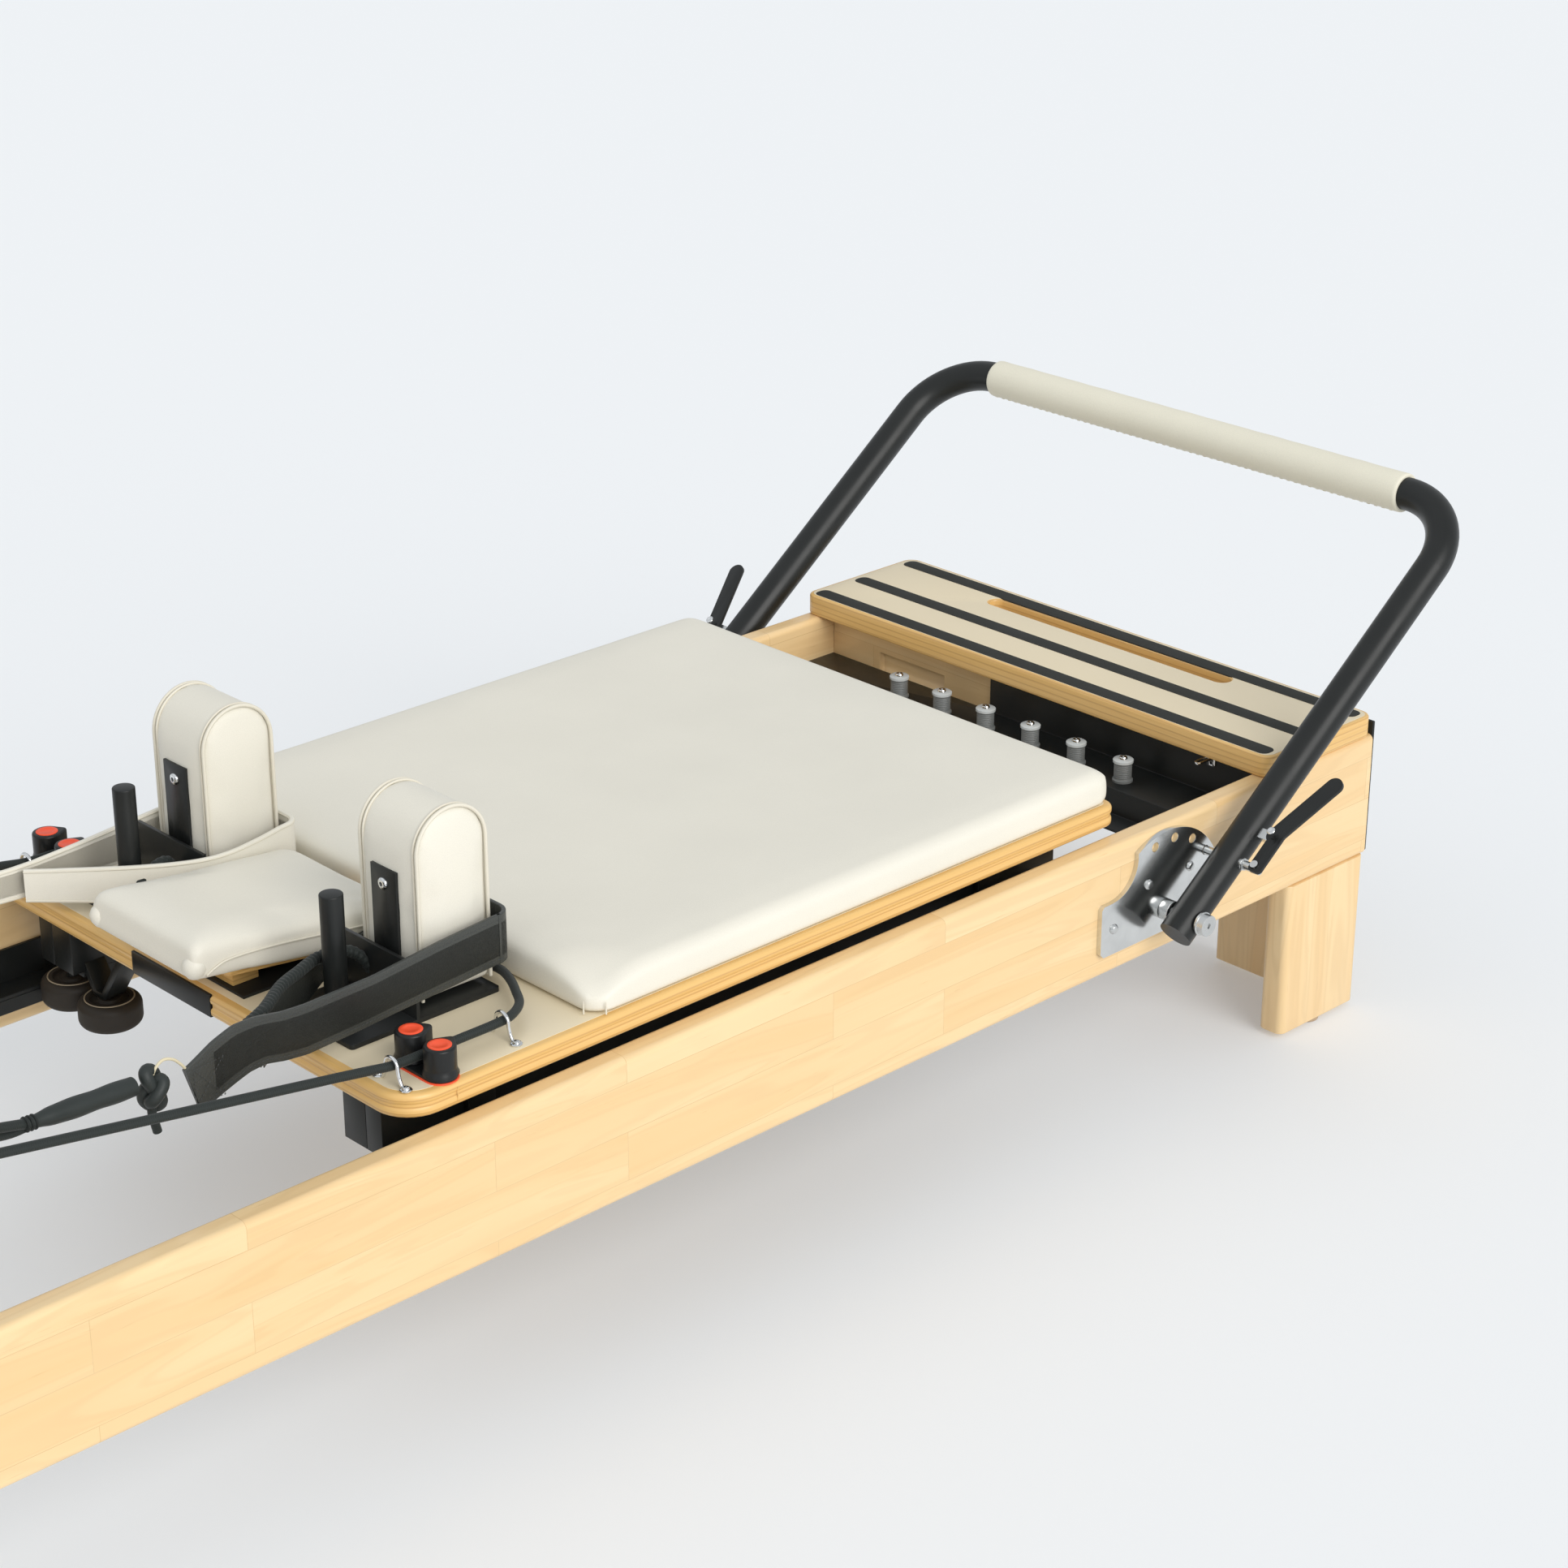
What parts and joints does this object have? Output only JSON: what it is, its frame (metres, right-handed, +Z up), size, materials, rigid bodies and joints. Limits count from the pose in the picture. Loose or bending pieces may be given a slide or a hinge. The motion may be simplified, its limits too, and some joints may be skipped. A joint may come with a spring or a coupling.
{
  "type": "pilates reformer",
  "caption": "Wooden pilates reformer: rolling padded carriage on a long frame, folding footbar, standing platform, shoulder rests, headrest, ropes over head-end pulleys and hand loops.",
  "frame": {"origin": "on the floor, centred under the object's bounding box at rest", "axes": "+X towards the foot end with the standing platform and the footbar, +Z up, left is -Y and right is +Y as seen from the foot end"},
  "size_m": [2.523, 0.97, 0.6236],
  "materials": {
    "maple": "satin lacquered maple",
    "ply_laminate": "cream laminate on plywood",
    "plywood": "clear lacquer",
    "black_steel": "satin black powder coat",
    "black_plastic": "satin",
    "grip_rubber": "matte ribbed",
    "zinc_steel": "zinc plated",
    "polished_steel": "polished stainless",
    "aluminium_track": "black anodised",
    "spring_steel": "bright wire",
    "cream_vinyl": "fine grain upholstery vinyl",
    "grip_vinyl": "soft matte sleeve",
    "wheel_rubber": "matte",
    "rope_braid": "braided cover",
    "black_leather": "grained leather",
    "cream_strap": "padded vinyl"
  },
  "bodies": {
    "frame": {"left_rail": "maple", "right_rail": "maple", "foot_legs": "maple", "head_legs": "maple", "leveling_feet": "black_plastic", "leg_bolts": "zinc_steel", "foot_end_panel": "maple", "head_end_panel": "maple", "foot_end_trim": "black_plastic", "platform_crossrail": "maple", "wheel_tracks": "aluminium_track", "platform_board": "ply_laminate", "platform_grip_strips": "grip_rubber", "spring_bar": "black_steel", "spring_posts": "zinc_steel", "strap_hook": "polished_steel", "index_plates": "polished_steel", "plate_screws": "zinc_steel", "pivot_bolts": "polished_steel", "pivot_spacers": "zinc_steel", "pulley_risers": "black_steel", "pulley_blocks": "zinc_steel"},
    "left_pulley": {"left_pulley": "black_plastic"},
    "right_pulley": {"right_pulley": "black_plastic"},
    "footbar": {"footbar_tube": "black_steel", "footbar_grip": "grip_vinyl", "plunger_housings": "zinc_steel"},
    "left_lock_lever": {"left_lock_lever": "black_steel"},
    "right_lock_lever": {"right_lock_lever": "black_steel"},
    "left_plunger_pin": {"left_plunger_pin": "zinc_steel"},
    "right_plunger_pin": {"right_plunger_pin": "zinc_steel"},
    "carriage": {"carriage_board": "ply_laminate", "carriage_frame": "black_steel", "carriage_mat": "cream_vinyl", "headrest_hinge": "black_steel", "number_plate": "black_plastic", "shoulder_rests": "cream_vinyl", "rest_brackets": "black_steel", "rope_pegs": "black_steel", "cleat_bases": "black_plastic", "rope_fairleads": "polished_steel", "springs": "spring_steel", "left_rope": "rope_braid", "right_rope": "rope_braid", "left_loop_strap": "black_leather", "right_loop_strap": "cream_strap"},
    "headrest": {"headrest_cushion": "cream_vinyl", "headrest_board": "plywood"},
    "head_load_wheels": {"head_load_wheels": "wheel_rubber"},
    "foot_load_wheels": {"foot_load_wheels": "wheel_rubber"},
    "left_head_guide_wheel": {"left_head_guide_wheel": "wheel_rubber"},
    "right_head_guide_wheel": {"right_head_guide_wheel": "wheel_rubber"},
    "left_foot_guide_wheel": {"left_foot_guide_wheel": "wheel_rubber"},
    "right_foot_guide_wheel": {"right_foot_guide_wheel": "wheel_rubber"},
    "yoke_wheel": {"yoke_wheel": "wheel_rubber"},
    "left_inner_cam": {"left_inner_cam": "black_plastic"},
    "left_outer_cam": {"left_outer_cam": "black_plastic"},
    "right_inner_cam": {"right_inner_cam": "black_plastic"},
    "right_outer_cam": {"right_outer_cam": "black_plastic"}
  },
  "joints": [
    {"name": "carriage_slide", "type": "slide", "parent": "frame", "child": "carriage", "axis": [1, 0, 0], "range_m": [-0.8, 0.12], "deforming": ["left_rope", "right_rope"]},
    {"name": "footbar_pivot", "type": "hinge", "parent": "frame", "child": "footbar", "pos_m": [0.7705, 0, 0.248], "axis": [0, -1, 0], "range_deg": [-22.5, 67.5]},
    {"name": "left_lever", "type": "hinge", "parent": "footbar", "child": "left_lock_lever", "pos_m": [0.86222, -0.448, 0.32901], "axis": [-0.6018, 0, 0.7986], "range_deg": [-8, 10]},
    {"name": "left_plunger", "type": "slide", "parent": "footbar", "child": "left_plunger_pin", "axis": [0, -1, 0], "range_m": [-0.0058, 0.0072]},
    {"name": "right_lever", "type": "hinge", "parent": "footbar", "child": "right_lock_lever", "pos_m": [0.86222, 0.448, 0.32901], "axis": [0.6018, 0, -0.7986], "range_deg": [-8, 10]},
    {"name": "right_plunger", "type": "slide", "parent": "footbar", "child": "right_plunger_pin", "axis": [0, 1, 0], "range_m": [-0.0058, 0.0072]},
    {"name": "headrest_tilt", "type": "hinge", "parent": "carriage", "child": "headrest", "pos_m": [-0.0205, 0, 0.385], "axis": [0, 1, 0], "range_deg": [0, 30]},
    {"name": "head_load_roll", "type": "hinge", "parent": "carriage", "child": "head_load_wheels", "pos_m": [-0.1115, 0, 0.278], "axis": [0, 1, 0], "continuous": true},
    {"name": "foot_load_roll", "type": "hinge", "parent": "carriage", "child": "foot_load_wheels", "pos_m": [0.5775, 0, 0.278], "axis": [0, 1, 0], "continuous": true},
    {"name": "left_head_guide_roll", "type": "hinge", "parent": "carriage", "child": "left_head_guide_wheel", "pos_m": [-0.1965, -0.2745, 0.237], "axis": [0, 0, 1], "continuous": true},
    {"name": "right_head_guide_roll", "type": "hinge", "parent": "carriage", "child": "right_head_guide_wheel", "pos_m": [-0.1965, 0.2745, 0.237], "axis": [0, 0, 1], "continuous": true},
    {"name": "left_foot_guide_roll", "type": "hinge", "parent": "carriage", "child": "left_foot_guide_wheel", "pos_m": [0.6575, -0.2745, 0.237], "axis": [0, 0, 1], "continuous": true},
    {"name": "right_foot_guide_roll", "type": "hinge", "parent": "carriage", "child": "right_foot_guide_wheel", "pos_m": [0.6575, 0.2745, 0.237], "axis": [0, 0, 1], "continuous": true},
    {"name": "yoke_spin", "type": "hinge", "parent": "carriage", "child": "yoke_wheel", "pos_m": [-0.1965, 0.206, 0.237], "axis": [0, 0, 1], "continuous": true},
    {"name": "left_pulley_spin", "type": "hinge", "parent": "frame", "child": "left_pulley", "pos_m": [-1.2145, -0.303, 0.585], "axis": [0, 1, 0], "continuous": true},
    {"name": "right_pulley_spin", "type": "hinge", "parent": "frame", "child": "right_pulley", "pos_m": [-1.2145, 0.303, 0.585], "axis": [0, 1, 0], "continuous": true},
    {"name": "left_inner_cam_turn", "type": "hinge", "parent": "carriage", "child": "left_inner_cam", "pos_m": [-0.1815, -0.282, 0.38], "axis": [0, 0, -1], "range_deg": [0, 30], "stiffness_Nm_per_rad": 0.3},
    {"name": "left_outer_cam_turn", "type": "hinge", "parent": "carriage", "child": "left_outer_cam", "pos_m": [-0.1815, -0.324, 0.38], "axis": [0, 0, 1], "range_deg": [0, 30], "stiffness_Nm_per_rad": 0.3},
    {"name": "right_inner_cam_turn", "type": "hinge", "parent": "carriage", "child": "right_inner_cam", "pos_m": [-0.1815, 0.282, 0.38], "axis": [0, 0, 1], "range_deg": [0, 30], "stiffness_Nm_per_rad": 0.3},
    {"name": "right_outer_cam_turn", "type": "hinge", "parent": "carriage", "child": "right_outer_cam", "pos_m": [-0.1815, 0.324, 0.38], "axis": [0, 0, -1], "range_deg": [0, 30], "stiffness_Nm_per_rad": 0.3}
  ],
  "couplings": [
    {"joint": "left_plunger", "follows": "left_lever", "m_per_rad": 0.04},
    {"joint": "right_plunger", "follows": "right_lever", "m_per_rad": 0.04},
    {"joint": "head_load_roll", "follows": "carriage_slide", "rad_per_m": 35.714},
    {"joint": "left_head_guide_roll", "follows": "carriage_slide", "rad_per_m": -30.303},
    {"joint": "right_head_guide_roll", "follows": "carriage_slide", "rad_per_m": 30.303},
    {"joint": "foot_load_roll", "follows": "carriage_slide", "rad_per_m": 35.714},
    {"joint": "left_foot_guide_roll", "follows": "carriage_slide", "rad_per_m": -30.303},
    {"joint": "right_foot_guide_roll", "follows": "carriage_slide", "rad_per_m": 30.303}
  ]
}
